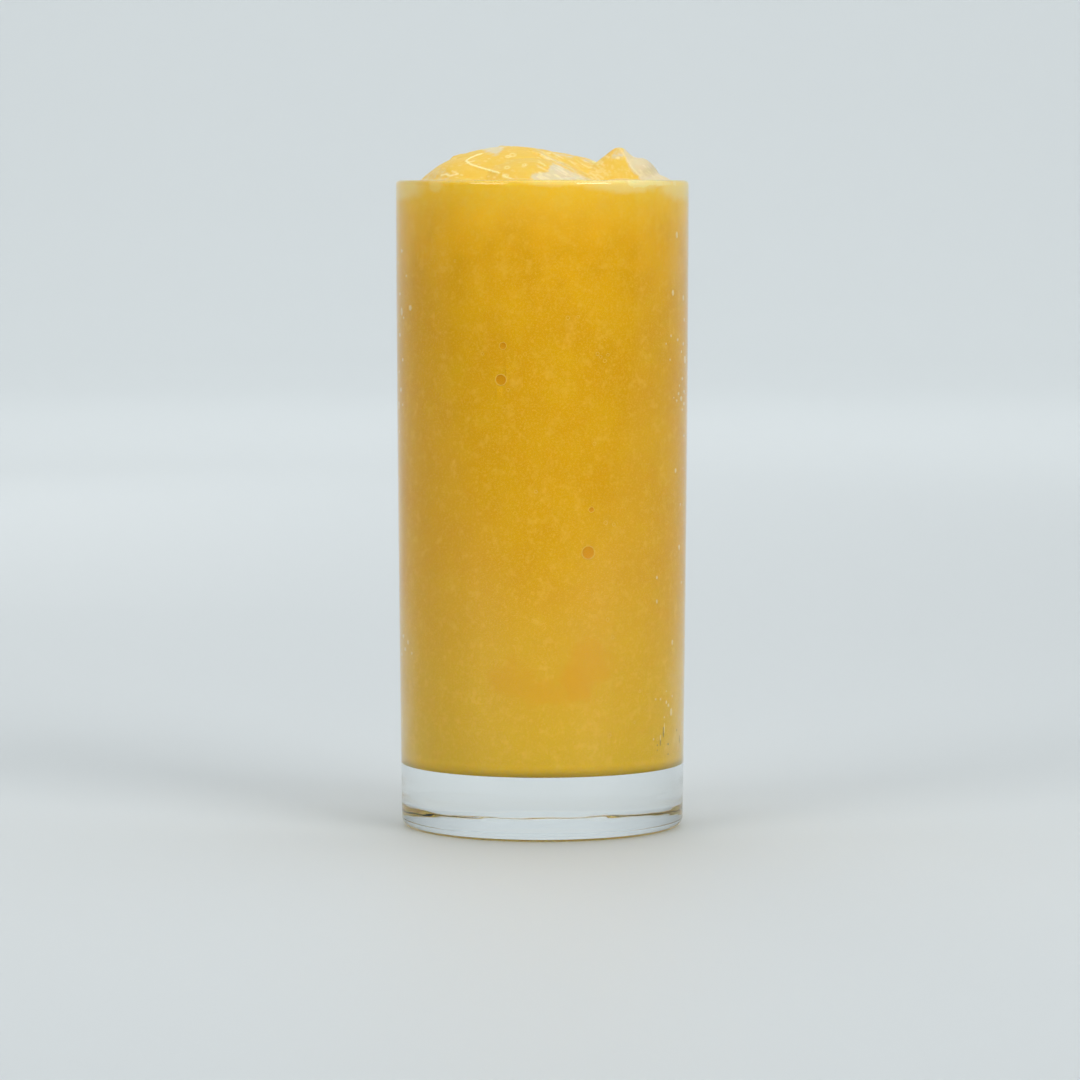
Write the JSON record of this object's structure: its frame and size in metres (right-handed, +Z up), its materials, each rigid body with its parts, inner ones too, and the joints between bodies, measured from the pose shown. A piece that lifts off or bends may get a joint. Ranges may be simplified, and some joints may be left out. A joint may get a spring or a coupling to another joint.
{
  "type": "mango smoothie in a glass",
  "caption": "Tall straight drinking glass with a thick clear base, filled to the rim with thick mango smoothie that stands above it in an uneven heap.",
  "frame": {"origin": "middle of the surface that the glass stands on, on the glass's axis", "axes": "+Z up along the glass's axis, -Y towards the side that the picture shows"},
  "size_m": [0.07, 0.07, 0.1631],
  "materials": {
    "glass": "clear, smooth, very slightly grey",
    "smoothie": "thick blended mango, moist, finely grained, golden yellow",
    "froth": "pale cream froth and melted ice, moist"
  },
  "bodies": {
    "root": {"glass": "glass", "smoothie": "smoothie"}
  },
  "joints": []
}
